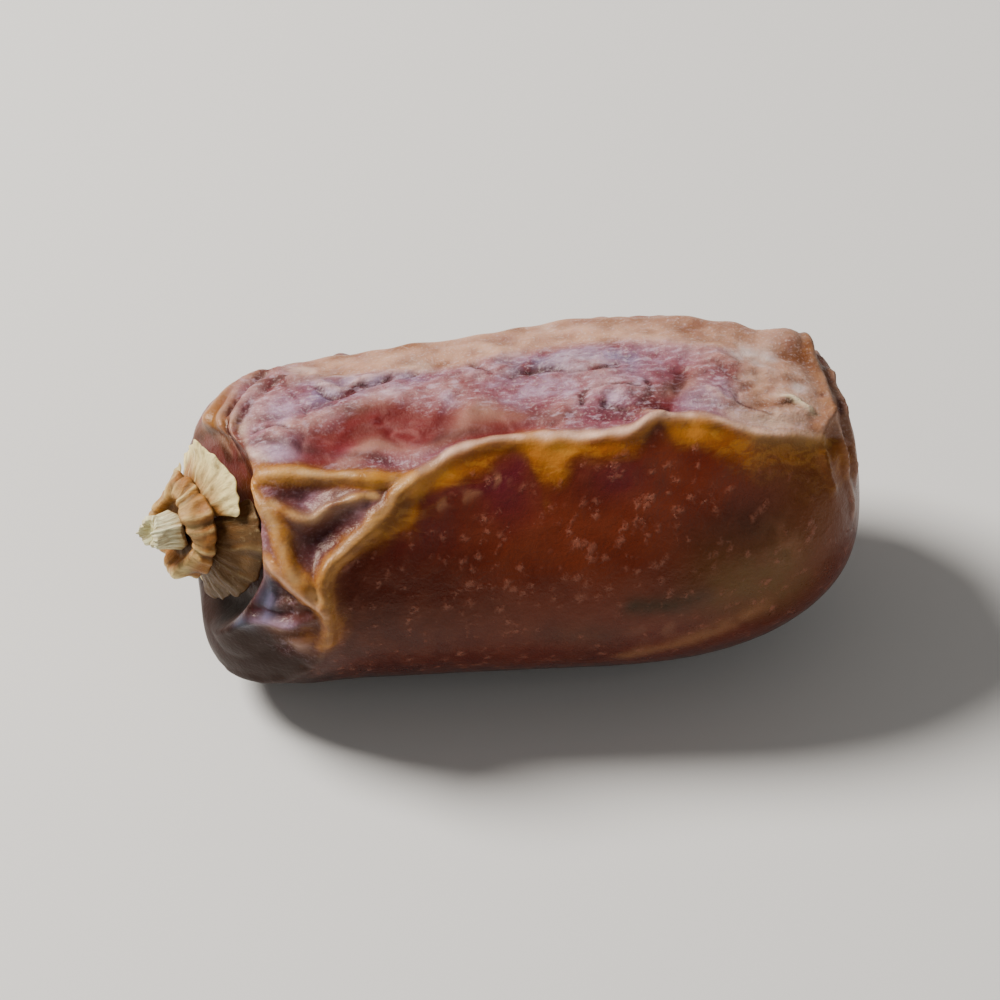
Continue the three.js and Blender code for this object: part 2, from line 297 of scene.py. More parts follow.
fibre = Nodes("torn fibre")
threads = fibre.noise(fibre.grown(0.2), 0.16, 4, 0.6)
fluff = fibre.noise(fibre.millimetres(), 0.18, 5, 0.7)
colour = fibre.attribute("tint", "Color")
colour = fibre.mix(fibre.between(threads, 0.62, 0.34, 0.0, 0.6), colour, srgb(150, 118, 70))
colour = fibre.mix(fibre.between(fluff, 0.5, 0.8, 0.0, 0.5), colour, srgb(240, 236, 220))
relief = fibre.bump(threads, 0.08)
fibre.shade({
    "Base Color": colour,
    "Roughness": fibre.between(fluff, 0.3, 0.7, 0.6, 0.85),
    "Normal": fibre.bump(fluff, 0.04, relief),
})
finish("strand_stub", mesh, on_seat(points), tint, fibre.material, "fibre")

# ------------------------------
# The sepal cup: three small sepals grown together into a low cup, dried to tan husk. It is lumpy, with
# radial folds and a blunt lobe for each sepal, and the lobe below the strand has curled out to a pale lip.
mesh, sphere = ball("sepal_cup", 224, 120)
radius, turn, height = lathed(sphere, [
    (0, CUP_FOOT + 0.9),
    (STUB_RADIUS + 0.2, CUP_FOOT + 0.9),
    (STUB_RADIUS + 0.3, CUP_RIM - 0.5),
    (CUP_RADIUS * 0.58, CUP_RIM - 0.12),
    (CUP_RADIUS * 0.62, CUP_RIM),
    (CUP_RADIUS * 0.7, CUP_RIM + 0.02),
    (CUP_RADIUS * 0.76, CUP_RIM - 0.16),
    (CUP_RADIUS * 0.86, CUP_FOOT + 0.85),
    (CUP_RADIUS * 0.97, CUP_FOOT + 0.42),
    (CUP_RADIUS, CUP_FOOT + 0.22),
    (CUP_RADIUS * 0.93, CUP_FOOT),
    (1, CUP_FOOT + 0.55),
    (0, CUP_FOOT + 0.55),
])
plain = standing(radius, turn, height)
outside = smooth(radius, CUP_RADIUS * 0.55, CUP_RADIUS * 0.8)
rim = smooth(height, CUP_FOOT + 0.6, CUP_RIM)
lobe = np.cos(3 * (turn - CUP_TURN + math.pi / 2))
lip = bell((turn - math.radians(300) + math.pi) % (2 * math.pi) - math.pi, 0.55)
uneven = cloudy(plain, 2.6, 43)
folds = np.sin(13 * turn + 1.6 * uneven) * 0.6 + np.sin(21 * turn + 2.2 * uneven) * 0.4
height = height + rim * (CUP_LOBE * lobe + 0.16 * uneven + 0.1 * folds) + 0.1 * lip * rim
radius = radius + outside * (0.13 * folds + 0.15 * uneven + 0.08 * cloudy(plain, 0.8, 44)) + 0.4 * lip * rim
points = standing(radius, turn, height)
HUSK_CREAM = srgb(250, 228, 160)
HUSK_TAN = srgb(160, 108, 46)
HUSK_ORANGE = srgb(146, 88, 36)
HUSK_BROWN = srgb(70, 42, 16)
HUSK_GOLD = srgb(96, 58, 13)
speckled = cloudy(plain, 0.9, 45)
tint = np.tile(HUSK_TAN, (len(points), 1))
paint(tint, HUSK_ORANGE, smooth(uneven + 0.6 * speckled, -0.4, 0.9) * 0.8)
# painted shade in the valleys of the outer folds, and cream on their tops, partly a painted highlight, with
# the pale lip
paint(tint, HUSK_BROWN, outside * smooth(folds, -0.1, -0.9) * 0.75)
paint(tint, HUSK_CREAM, outside * smooth(folds, 0.3, 1.0) * 0.35 + rim * (0.25 + 0.7 * lip) * outside)
# painted shade: brown deep inside the cup round the stub, and at the cup's foot
paint(tint, HUSK_BROWN, 1 - smooth(radius, STUB_RADIUS + 0.1, CUP_RADIUS * 0.6))
paint(tint, HUSK_BROWN, smooth(height, CUP_FOOT + 0.35, CUP_FOOT) * 0.8)
mask(mesh, "grain_round", turn * CUP_RADIUS)
mask(mesh, "grain_along", height - radius)

husk = Nodes("dried husk")
veins = husk.noise(husk.grown(0.25), 0.24, 4, 0.6, 0.4)
spot = husk.millimetres()
fleck = husk.noise(spot, 0.5, 5, 0.65)
grain = husk.noise(spot, 0.12, 3, 0.6)
colour = husk.attribute("tint", "Color")
colour = husk.mix(husk.between(veins, 0.6, 0.3, 0.0, 0.5), colour, srgb(104, 66, 32))
colour = husk.mix(husk.between(fleck, 0.56, 0.72, 0.0, 0.14), colour, srgb(232, 212, 160))
colour = husk.mix(husk.between(fleck, 0.42, 0.28, 0.0, 0.5), colour, srgb(120, 74, 36))
relief = husk.bump(fleck, 0.06, husk.bump(veins, 0.07))
husk.shade({
    "Base Color": colour,
    "Roughness": husk.between(fleck, 0.3, 0.7, 0.42, 0.66),
    "Normal": husk.bump(grain, 0.015, relief),
    "Specular Tint": (1, 0.82, 0.55, 1),
    "Subsurface Weight": 0.1,
    "Subsurface Radius": (1.0, 0.6, 0.3),
    "Subsurface Scale": 0.5 * MM,
})
finish("sepal_cup", mesh, on_seat(points), tint, husk.material, "husk")

# ------------------------------
# The three petals of the cap: tough, woody scales that stayed on the fruit, each overlapping the next.
# They are ribbed from their root outwards, ragged at the edge, and paler where they have dried most; the
# dark brown of the front petal is partly painted shade, for the shade it lies in.
PETAL_REACH = (1, 4.8)
PETAL_HALF_TURN = (54, 70)
PETAL_THICKNESS = 0.5
PETAL_RAMP = 0.42
PETAL_RISE = 1.9
PETAL_CLEARANCE = 0.75
PETAL_SQUARENESS = 6


def petal(node, direction, flare, seed, paleness_and_light):
    mesh, sphere = ball(node, 256, 120)
    x, y, z = sphere.T
    plan = np.maximum(np.hypot(x, y), 1e-6)
    corner = np.abs(x / plan) ** PETAL_SQUARENESS + np.abs(y / plan) ** PETAL_SQUARENESS
    spread = (corner + 1e-9) ** (-1 / PETAL_SQUARENESS)
    outward = (1 + y * spread) / 2
    side = x * spread
    ragged = (0.2 * np.sin(4.2 * side + seed) + 0.12 * np.sin(9.5 * side + 2 * seed)
              + 0.09 * np.sin(19 * side + 3 * seed) + 0.05 * np.sin(37 * side + 5 * seed))
    reach = PETAL_REACH[1] + (ragged - 0.1) * smooth(outward, 0.45, 1)
    radius = PETAL_REACH[0] + (reach - PETAL_REACH[0]) * outward
    half_turn = PETAL_HALF_TURN[0] + (PETAL_HALF_TURN[1] - PETAL_HALF_TURN[0]) * outward
    turn = np.radians(half_turn) * side
    middle = (PETAL_CLEARANCE + PETAL_RISE * (1 - outward) + PETAL_RAMP * side * outward
              + flare * outward**2 * (1 - side**2))
    flat = np.stack([turn * 3, radius, np.full(len(turn), seed)], axis=-1)
    uneven = cloudy(flat, 2.2, 50 + seed)
    ribs = np.sin(26 * turn + 1.5 * uneven) * 0.6 + np.sin(41 * turn + 2 * uneven) * 0.4
    middle += outward * (0.05 * ribs + 0.1 * uneven) + 0.05 * cloudy(flat, 0.8, 60 + seed)
    middle += 0.22 * outward**3 * np.sin(6 * side + 2 * seed)
    thin = 1 - 0.5 * smooth(outward, 0.4, 1)
    height = middle + PETAL_THICKNESS / 2 * thin * np.sign(z) * np.sqrt(np.abs(z))
    way = np.radians(90 + direction) - turn
    points = standing(radius, way, height)

    tint = np.tile(HUSK_TAN, (len(points), 1))
    paint(tint, HUSK_ORANGE, smooth(outward, 0.75, 0.3) * 0.8 + smooth(uneven, 0.1, 1.0) * 0.5)
    # a petal that is not pale is painted gold and dark brown, darkest towards its rim and one side: partly
    # the husk's own colour, partly painted shade
    paint(tint, HUSK_GOLD, (1 - paleness_and_light) * (0.9 + 0.1 * uneven))
    darker = 0.6 + 0.3 * smooth(outward, 0.75, 1.0) + 0.3 * smooth(side, -0.2, 0.7)
    paint(tint, HUSK_BROWN, (1 - paleness_and_light) * darker)
    paint(tint, HUSK_CREAM, paleness_and_light * smooth(outward + 0.12 * uneven, 0.45, 0.8))
    # the ribs: cream on their tops, partly a painted highlight, and brown in their valleys as painted shade
    paint(tint, HUSK_CREAM, smooth(ribs, 0.35, 1.0) * (0.05 + 0.4 * paleness_and_light))
    paint(tint, HUSK_BROWN, smooth(ribs, -0.3, -1.0) * (0.55 - 0.4 * paleness_and_light) * smooth(outward, 0.1, 0.4))
    mask(mesh, "grain_round", turn * 3)
    mask(mesh, "grain_along", radius)
    finish(node, mesh, on_seat(points), tint, husk.material, "husk")


petal("petal_upper", direction=20, flare=1.1, seed=1, paleness_and_light=1.0)
petal("petal_back", direction=140, flare=0, seed=2, paleness_and_light=0.6)
# the front petal is painted dark, partly as painted shade
petal("petal_front", direction=260, flare=0, seed=3, paleness_and_light=0.02)

# ------------------------------
# The fruit: sugary flesh and its skin, grown as one piece. It swelled to a blunt cylinder, then dried
# from the outside in: the skin came loose, stands up in folds along the ridges, and lies sunk, creased
# and dusty between them, while the lower front stayed taut and glossy.
BODY_LENGTH = 40
HALF_WIDTH = 10.6
HALF_HEIGHT = 9.9
BASE_BLUNTNESS = 4
TIP_BLUNTNESS = 2.8
TIP_BULGE = 0.13
TIP_LIFT = 0.9
FRONT_SLANT = 0.2
BACK_SLANT = 0.14
SLANT_REACH = 6
REST_DEPTH = 8.7

SEAT_RADIUS = 4.8
SEAT_WALL = 1.6

# where the skin stands in a fold: crest height, half-breadth, and a path of [mm from the base, degrees
# round the fruit], with 0 at the front, 90 on top, 180 at the back and 270 underneath
RIDGES = {
    "golden ridge": (0.6, 0.6, [
        (5.9, -8), (6.4, 4), (6.8, 13), (6.9, 21), (7.0, 29), (7.6, 35), (8.6, 40), (10, 45.5), (11.2, 51),
        (12.4, 59), (14.2, 66), (16.2, 70), (20, 70), (24.7, 69.3), (27, 72.5), (29.5, 71.5), (31.5, 69),
        (33, 66.5), (36.4, 67)]),
    "web, upper": (0.55, 0.6, [
        (2.9, 73), (4.6, 69), (6.2, 68), (7.9, 65.5), (9.4, 63.5), (11, 62), (12.8, 61)]),
    "web, left": (0.6, 0.75, [
        (2.9, 73), (3.4, 64), (4.1, 55), (4.6, 48), (4.65, 41), (4.9, 34), (5.6, 28), (6.8, 21)]),
    "shoulder": (0.5, 0.5, [(1.2, 88), (1.2, 98), (1.5, 110), (2.8, 119), (4.6, 123), (7, 122)]),
    "shoulder, far": (0.35, 0.5, [(0.8, 128), (2.4, 134), (5, 131)]),
    "far edge": (0.4, 0.9, [(3, 128), (9, 133), (16, 128), (23, 134), (30, 126), (36.6, 120)]),
    "tip corner": (0.4, 0.5, [(36.4, 67), (37.2, 78), (37.2, 98), (36.6, 118), (36.4, 140)]),
    "back, upper": (0.5, 0.8, [(4, 172), (10, 165), (17, 172), (24, 163), (31, 170), (37, 160)]),
    "back, branch": (0.35, 0.6, [(16.5, 171), (20, 186), (24, 195), (28, 207)]),
    "back, cross": (0.35, 0.6, [(9, 133), (11.5, 148), (15, 169)]),
    "back, tip": (0.35, 0.6, [(31, 170), (34, 187), (36, 202), (37.6, 214)]),
    "back, base": (0.35, 0.6, [(4, 172), (5.4, 190), (9, 208)]),
    "back, lower": (0.5, 0.8, [(3.4, 214), (11, 207), (18, 213), (26, 208), (34, 216), (38, 214)]),
    "underside": (0.35, 0.7, [(6, 246), (13, 240), (21, 247), (30, 242), (36, 248)]),
    "below the cap": (0.34, 0.34, [(0.9, -10), (1.6, 4), (2.6, 9.5), (3.7, 9.5), (5, 12), (6.6, 16)]),
    "below, lower": (0.3, 0.5, [(1.6, -50), (3, -36), (4.6, -24), (5.9, -10)]),
}
FAR_FOLDS = [name for name in RIDGES if name.startswith("back") or name == "far edge"]
SINK = 0.75
SINK_REACH = 3.2

# low folds that lie on the sunk skin
FOLDS = {
    "web, middle": (0.45, 0.42, [(4.5, 58), (5.5, 52), (6.6, 50.5), (7.8, 53), (9, 55), (10.6, 56.5)]),
    "below the web": (0.4, 0.4, [(3.3, 35), (4.3, 29), (5.4, 23.5), (6.8, 18)]),
    "shoulder, inner": (0.3, 0.45, [(2.6, 82), (2.9, 94), (3.5, 104), (4.6, 113), (6.2, 117), (8, 116)]),
    "shoulder, outer": (0.3, 0.4, [(1.9, 84), (2, 96), (2.5, 107), (3.6, 117), (5.4, 124), (7.4, 126)]),
    "below the cap, edge": (0.15, 0.26, [(2.7, 11), (2.8, 16), (3.1, 22), (3.3, 29)]),
    "below the cap, middle": (0.2, 0.22, [(2.9, 15), (3.6, 18), (4.6, 19), (5.6, 21)]),
    "plate": (0.14, 0.35, [(3.9, 80), (4.3, 86), (5.4, 88.5), (6.2, 85), (6.4, 78)]),
    "blue plate": (0.22, 0.35, [(8.2, 113), (8.9, 107.5), (9.9, 106), (10.9, 110.5), (12, 112), (14, 114)]),
    "eye": (0.22, 0.5, [(23.6, 81), (24, 86), (25, 86.5), (26, 84)]),
    "node": (0.2, 0.3, [(26.4, 77), (26.9, 75), (27.5, 73)]),
    "facet": (0.16, 0.35, [(30.4, 84), (31.2, 79), (32.4, 76), (34, 75)]),
    "facet, far": (0.2, 0.4, [(31, 101), (32.8, 97), (34, 98), (35.4, 93)]),
    "tent": (0.26, 0.32, [(34, 79), (35.1, 82.5), (35.7, 80), (36.4, 75.5)]),
    "tip, upper": (0.3, 0.35, [(37.6, 118), (38.2, 100), (38.4, 84), (38.8, 66), (39.2, 46)]),
    "tip, lower": (0.24, 0.35, [(37.2, 84), (37.7, 70), (38.2, 56), (38.8, 38), (39, 20)]),
    "tip, side": (0.2, 0.35, [(36.6, 62), (37, 52), (37.6, 42)]),
}

# hollows: mm from the base, degrees round, half-length, half-breadth and depth in mm
HOLLOWS = [
    (11.5, 78, 4.8, 1.6, 0.5), (20, 86, 4.5, 2.4, 0.35), (28.8, 86, 1.6, 2.8, 0.45),
    (35.8, 124, 1.5, 1.9, -0.85), (6.7, 59, 1.6, 0.7, 0.45), (7.2, 44, 1.7, 1.2, 0.6),
    (33, 0, 4.2, 3.2, 0.35), (24, -46, 13, 4, 0.4), (3.4, 20, 1.4, 1.2, 0.6),
    (17, 149, 5.5, 1.8, 0.5), (28, 148, 5, 1.6, 0.45), (13, 190, 4.5, 2.2, 0.55),
    (24, 180, 4.5, 1.5, 0.45), (32, 196, 2.6, 2.2, 0.45), (20, 227, 7, 2.2, 0.5),
]

# sharp creases: depth, half-breadth and a path
CREASES = {
    "far, left": (0.28, 0.22, [
        (8.2, 109), (8.8, 103.5), (9.7, 103), (10.7, 107), (11.6, 107), (12.5, 110), (13.3, 109),
        (14.1, 110.5)]),
    "plate, outer": (0.16, 0.2, [(6.2, 116), (6.9, 108), (7.2, 102), (7.4, 95), (6.8, 89.5)]),
    "plate": (0.17, 0.2, [(4.2, 88), (4.6, 92), (5.7, 91.5), (6.7, 87.5), (6.9, 82), (6.7, 77)]),
    "notch": (0.26, 0.22, [(17.3, 110), (17.8, 107), (18.2, 103)]),
    "far, right": (0.26, 0.24, [
        (19.4, 101), (20.6, 102.5), (21.7, 102), (22.8, 99.5), (24, 99.5), (25.4, 100)]),
    "eye, upper": (0.24, 0.24, [(22.9, 82), (23.1, 87), (24, 90), (25.2, 89.5), (26.4, 88)]),
    "eye, lower": (0.24, 0.26, [(24.2, 80), (25.4, 79), (26.3, 81), (27, 84)]),
    "under the eye": (0.16, 0.22, [(20, 75.5), (21.2, 75), (22.2, 76.5), (23.4, 74.5), (25.6, 74.5)]),
    "node, left": (0.24, 0.25, [(26, 84), (26.8, 80), (27.3, 76)]),
    "node, right": (0.22, 0.25, [(27, 90), (27.1, 84), (27.4, 78)]),
    "groove": (0.2, 0.45, [(27.7, 77), (28.3, 82), (28.7, 88), (29, 95)]),
    "facet, left": (0.14, 0.18, [(30.6, 88.5), (31.6, 87.5), (32, 84), (31.8, 80)]),
    "facet, upper": (0.14, 0.18, [(31.5, 97), (32.2, 92), (33.2, 89.5), (34.2, 87)]),
    "facet, far": (0.12, 0.18, [(33.3, 97), (33.7, 93), (34.6, 91.5)]),
    "facet, lower": (0.16, 0.18, [(31.9, 79), (32.7, 77), (33.7, 74.5)]),
    "trough, folds": (0.08, 0.2, [(11.6, 92), (11.5, 87), (12.1, 84), (11.7, 80), (12.4, 76)]),
    "trough": (0.06, 0.2, [(7.4, 84), (9.2, 85.5), (10.4, 88), (11.6, 92)]),
    "shoulder, outer": (0.26, 0.25, [(3, 108), (3.8, 114), (4.9, 120.5), (5.8, 125)]),
    "shoulder, inner": (0.24, 0.25, [(3.6, 99), (4.2, 106), (5.1, 111.5), (6.4, 117), (7.6, 120.5)]),
    "below the cap": (0.26, 0.24, [(3.4, 25), (4.1, 22.5), (4.9, 19.5), (5.6, 18)]),
    "below the cap, low": (0.2, 0.2, [(2, 12.5), (2.7, 14), (3.4, 13.5), (4.3, 15)]),
    "collar": (0.25, 0.25, [(2, 72), (2, 84), (2.3, 94), (2.9, 102)]),
    "tip": (0.22, 0.3, [(36.9, 126), (37.6, 112), (37.6, 96)]),
    "tip, lower": (0.2, 0.25, [(38.1, 105), (38.1, 84), (38.2, 66), (38.6, 50)]),
    "tip, side": (0.16, 0.25, [(37, 88), (37.6, 72), (37.9, 58)]),
}

CUTS_ALONG = 149
CUTS_ROUND = 115
STEPS_PER_POINT = 14


def outline(share):
    """The plump form's radius, 0 to 1, along it from -1 at the base to 1 at the tip."""
    bluntness = np.where(share < 0, BASE_BLUNTNESS, TIP_BLUNTNESS)
    return np.maximum(0, 1 - np.abs(share) ** bluntness) ** (1 / bluntness)


def plump_point(share, turn, radius):
    """Points of the plump form, before the skin dried, in mm."""
    full = radius * (1 + TIP_BULGE * share * (1 - share * share))
    front = np.cos(turn) * HALF_WIDTH * full
    up = np.sin(turn) * HALF_HEIGHT * full
    beside = bell(up - SEAT_CENTRE[2], SLANT_REACH)
    lean = np.where(front > 0, FRONT_SLANT, -BACK_SLANT) * front * beside * smooth(-share, 0.3, 1)
    lift = TIP_LIFT * ((share + 1) / 2) ** 2
    return np.stack([share * BODY_LENGTH / 2 + lean, -front, up + lift], axis=-1)


def skin_point(along, degrees):
    """Points of the plump form, placed by mm from the base and degrees round."""
    share = 2 * np.asarray(along, float) / BODY_LENGTH - 1
    return plump_point(share, np.radians(degrees), outline(share))


def on_skin(path):
    """A smooth curve through the points of a path, drawn on the plump form."""
    points = np.array(path, float)
    padded = np.vstack([2 * points[0] - points[1], points, 2 * points[-1] - points[-2]])
    step = np.linspace(0, len(points) - 1, STEPS_PER_POINT * len(points))
    span = np.minimum(step.astype(int), len(points) - 2)
    t = (step - span)[:, None]
    a, b, c, d = (padded[span + k] for k in range(4))
    route = 0.5 * (2 * b + (c - a) * t + (2 * a - 5 * b + 4 * c - d) * t**2
                   + (3 * b - a - 3 * c + d) * t**3)
    return skin_point(route[:, 0], route[:, 1])


def nearest(points, line):
    """For each point, how far it is from a line, and which step of the line is the nearest."""
    step = ((line**2).sum(1)[None] - 2 * points @ line.T).argmin(1)
    offset = points - line[step]
    way = np.gradient(line, axis=0)[step]
    past = np.clip((offset * way).sum(1) / (way**2).sum(1), -0.5, 0.5)
    return np.linalg.norm(offset - past[:, None] * way, axis=1), step


# a finely cut box, blown up to a sphere and then to the plump form, with its faces spread evenly along
# the outline
bm = bmesh.new()
bmesh.ops.create_cube(bm, size=2)
lengthwise = [edge for edge in bm.edges if edge.verts[0].co.x != edge.verts[1].co.x]
bmesh.ops.subdivide_edges(bm, edges=lengthwise, cuts=CUTS_ALONG, use_grid_fill=True)
crosswise = [edge for edge in bm.edges if abs(edge.verts[0].co.x - edge.verts[1].co.x) < 1e-6]
bmesh.ops.subdivide_edges(bm, edges=crosswise, cuts=CUTS_ROUND, use_grid_fill=True)
fruit_mesh = as_mesh("date_fruit", bm)
box = np.tan(vector_array(fruit_mesh.vertices, "co") * math.pi / 4)
sphere = box / np.linalg.norm(box, axis=1)[:, None]
fine_share = np.cos(np.linspace(0, math.pi, 4000))
fine_radius = outline(fine_share)
steps = np.hypot(np.diff(fine_share) * BODY_LENGTH / 2, np.diff(fine_radius) * HALF_WIDTH)
arc = np.append(0, np.cumsum(steps))
ARC_LENGTH = arc[-1]
from_tip = np.arccos(np.clip(sphere[:, 0], -1, 1)) / math.pi * ARC_LENGTH
share = np.interp(from_tip, arc, fine_share)
radius = np.interp(from_tip, arc, fine_radius)
turn = np.arctan2(sphere[:, 2], -sphere[:, 1])
plump = plump_point(share, turn, radius)
along = (share + 1) * BODY_LENGTH / 2
degrees = (np.degrees(turn) + 90) % 360 - 90
fruit_mesh.vertices.foreach_set("co", (plump * MM).ravel())
fruit_mesh.update()
outward = vector_array(fruit_mesh.vertices, "normal")


def buckled(wavelength, stretch, seed, cells, steps=120):
    """Skin that has grown too large for what it covers: a sheet that buckles at one wavelength, stretched
    along the fruit. With cells below zero its folds join up around hollows. Periodic both ways."""
    size = [8 * round(length / wavelength) for length in (ARC_LENGTH, 2 * math.pi * HALF_HEIGHT)]
    k_along = 2 * math.pi * np.fft.fftfreq(size[0], wavelength / 8)[:, None] * stretch
    k_round = 2 * math.pi * np.fft.rfftfreq(size[1], wavelength / 8)[None, :]
    k_own = 2 * math.pi / wavelength
    growth = 0.35 - (1 - (k_along**2 + k_round**2) / k_own**2) ** 2
    sheet = 0.2 * np.random.default_rng(seed).standard_normal(size)
    dt = 0.4
    for _ in range(steps):
        push = np.fft.rfft2(sheet + dt * (cells * sheet**2 - sheet**3))
        sheet = np.fft.irfft2(push / (1 - dt * growth), s=size)
    low, high = np.percentile(sheet, [1, 99])
    return np.clip((sheet - low) / (high - low), 0, 1)


def sampled(sheet, from_tip, turn):
    """The sheet's height, 0 to 1, at places on the fruit."""
    rows, columns = sheet.shape
    x = from_tip / ARC_LENGTH * rows
    y = (turn / (2 * math.pi)) % 1 * columns
    i = np.floor(x).astype(int)
    j = np.floor(y).astype(int)
    fx = x - i
    fy = y - j
    corner = [sheet[(i + a) % rows, (j + b) % columns] for a in (0, 1) for b in (0, 1)]
    return (corner[0] * (1 - fy) + corner[1] * fy) * (1 - fx) + (corner[2] * (1 - fy) + corner[3] * fy) * fx


# slow noise that bends everything drawn on the skin, so that no line is ruled
drift_along = cloudy(plump, 5, 1)
drift_round = cloudy(plump, 4, 2)
bent = plump.copy()
bent[:, 0] += 0.12 * drift_along + 0.07 * cloudy(plump, 1.2, 6)
bent += np.cross(outward, [1, 0, 0]) * (0.12 * drift_round + 0.07 * cloudy(plump, 1.3, 7))[:, None]

knobbly = cloudy(plump, 1.5, 3)


def raised(height, breadth, path):
    """A fold along a path: its height and, for each vertex, how far its crest is and on which side."""
    line = on_skin(path)
    far, step = nearest(bent, line)
    end = np.minimum(step, len(line) - 1 - step) / (len(line) - 1)
    lumpy = 1 + 0.25 * drift_along + 0.14 * knobbly
    body = 0.6 * bell(far, 1.15 * breadth) + 0.4 * np.exp(-((far / (0.75 * breadth)) ** 4))
    side = np.einsum("ij,ij->i", np.cross(np.gradient(line, axis=0)[step], bent - line[step]), outward)
    return height * lumpy * (0.35 + 0.65 * smooth(end, 0, 0.12)) * body, np.where(side > 0, far, -far)


def blob(mid_along, mid_turn, half_length, half_breadth):
    """How much each vertex is in a soft round patch, from 0 to 1."""
    offset = bent - skin_point(mid_along, mid_turn)
    across = np.hypot(offset[:, 1], offset[:, 2]) / half_breadth
    return np.exp(-((offset[:, 0] / half_length) ** 2 + across**2))


def stroke(breadth, path):
    """How much each vertex is under a soft brush stroke along a path, from 0 to 1."""
    far, _ = nearest(bent, on_skin(path))
    return bell(far, breadth)


def on_crest(name, breadth):
    """How near each vertex is to a fold's crest, from 0 to 1."""
    return bell(band[name], breadth)


crest = np.zeros(len(plump))
closest = np.full(len(plump), np.inf)
band = {}
for name, fold in RIDGES.items():
    lift, band[name] = raised(*fold)
    crest = np.maximum(crest, lift)
    closest = np.minimum(closest, np.abs(band[name]))
low_fold = np.zeros(len(plump))
for name, fold in FOLDS.items():
    lift, band["low " + name] = raised(*fold)
    low_fold = np.maximum(low_fold, lift)

sunk = SINK * (1 - bell(closest, SINK_REACH))
hollow = np.zeros(len(plump))
for *patch, depth in HOLLOWS:
    hollow += depth * blob(*patch)
crease = np.zeros(len(plump))
broken = 0.45 + 0.55 * smooth(cloudy(plump, 1.6, 9), -0.6, 0.6)
for depth, breadth, path in CREASES.values():
    crease = np.maximum(crease, depth * broken * stroke(breadth, path))

# the regions of the skin
ridge_turn = np.interp(along, *zip(*RIDGES["golden ridge"][2]))
edge_turn = np.interp(along, *zip(*RIDGES["far edge"][2]))
upper = smooth(degrees - ridge_turn, -3, 6) * smooth(along, 2, 5) * smooth(edge_turn + 25 - degrees, 0, 30)
wander = np.clip(7 * drift_round + 4 * knobbly, -14, 14)
back = smooth(degrees, 125, 150) * smooth(wander - degrees, -256, -206)
from_below = np.abs((degrees + 270) % 360 - 180)
underneath = smooth(wander - from_below, -80, -25)
facing = smooth(degrees + wander, -76, -40)
taut = smooth(ridge_turn - degrees, -2, 6) * smooth(degrees, -60, -40) * smooth(along, 4, 8)
ends = smooth(from_tip, 3, 9) * smooth(ARC_LENGTH - from_tip, 3, 7)
tip_side = smooth(along, 36.3, 37.6) * smooth(degrees, 40, 62) * smooth(-degrees, -200, -150)

sway = from_tip + 0.5 * drift_along
twist = turn + 0.05 * drift_round
coarse = sampled(buckled(3.4, 2.0, seed=5, cells=-0.9), sway, twist)
fine = sampled(buckled(1.5, 1.8, seed=11, cells=-0.9), sway, twist)
faint = sampled(buckled(0.7, 1.5, seed=17, cells=-0.7), from_tip, turn)
pillows = sampled(buckled(2.4, 2.2, seed=23, cells=0.9), sway, twist)
patchy = smooth(cloudy(plump, 6, 4), -0.6, 0.6)
clear = smooth(closest, 0.3, 1.4)
beige = smooth(degrees - edge_turn, -22, -14) * smooth(edge_turn + 22 - degrees, 0, 22)
beige = np.maximum(beige * smooth(along, 5, 9), smooth(along, 31, 33.5) * upper)
loose = upper * (1 - 0.5 * beige)
trough = stroke(1.5, [(7.3, 77.5), (9, 78), (11, 80), (13, 80), (15.4, 79.5), (18.6, 77)])
trough = np.clip(1.4 * (trough + blob(11.5, 88, 1.8, 1.3)), 0, 1)
squiggle = 1 - smooth(np.abs(cloudy(plump * [0.8, 1, 1], 1.3, 25)), 0, 0.4)
squiggle *= smooth(cloudy(plump, 1.1, 26), -0.3, 0.6)
seams = (1 - pillows) ** 5 * smooth(cloudy(plump, 3, 8), -0.5, 0.5)
wrinkle = ends * clear * (
    coarse**2 * (0.3 * loose + 0.85 * back + 0.03 * taut + 0.3 * tip_side)
    + 0.16 * fine**2.5 * (loose + 1.2 * back + tip_side) * (0.25 + 0.75 * patchy)
    + 0.05 * faint**2 * (upper + 0.7 * back) * (1 - 0.7 * trough)
    + 0.04 * squiggle * trough
    - 0.13 * seams * (0.8 * upper + back) * (1 - trough)
)

height = crest + low_fold - sunk - hollow - crease + wrinkle
dried = plump + outward * height[:, None]

# the seat of the cap, pressed flat, and the flat spot it rests on
offset = dried - SEAT_CENTRE
above = offset @ seat_axis
out = np.linalg.norm(offset - above[:, None] * seat_axis, axis=1)
pressed = np.where(dried[:, 0] < -BODY_LENGTH / 4, 1 - smooth(out, SEAT_RADIUS, SEAT_RADIUS + SEAT_WALL), 0)
dried -= seat_axis * (above * pressed)[:, None]
dried[:, 2] = np.maximum(dried[:, 2], -REST_DEPTH)
dried += place

DEEP_RED = srgb(84, 26, 14)
NEAR_BLACK = srgb(36, 12, 8)
RUSSET = srgb(112, 46, 26)
WINE = srgb(84, 24, 34)
TAWNY = srgb(96, 64, 28)
TAWNY_PINK = srgb(138, 92, 66)
SMUDGE = srgb(44, 36, 22)
AMBER = srgb(158, 88, 26)
BURNT_AMBER = srgb(96, 44, 10)
GINGER = srgb(112, 60, 20)
OLIVE_TAN = srgb(164, 120, 66)
VIOLET = srgb(94, 62, 100)
HIGHLIGHT_GREY = srgb(222, 204, 198)
BONE_HIGHLIGHT = srgb(255, 238, 196)
HONEY = srgb(198, 132, 46)
CORD = srgb(146, 96, 40)
CORD_PALE = srgb(220, 180, 126)
BLOOM = srgb(100, 72, 74)
UNDER_BLOOM = srgb(70, 30, 22)
FOLD_PALE = srgb(232, 186, 158)
LILAC = srgb(156, 110, 126)
PALE_LILAC = srgb(190, 160, 184)
BLUE_GREY = srgb(136, 126, 160)
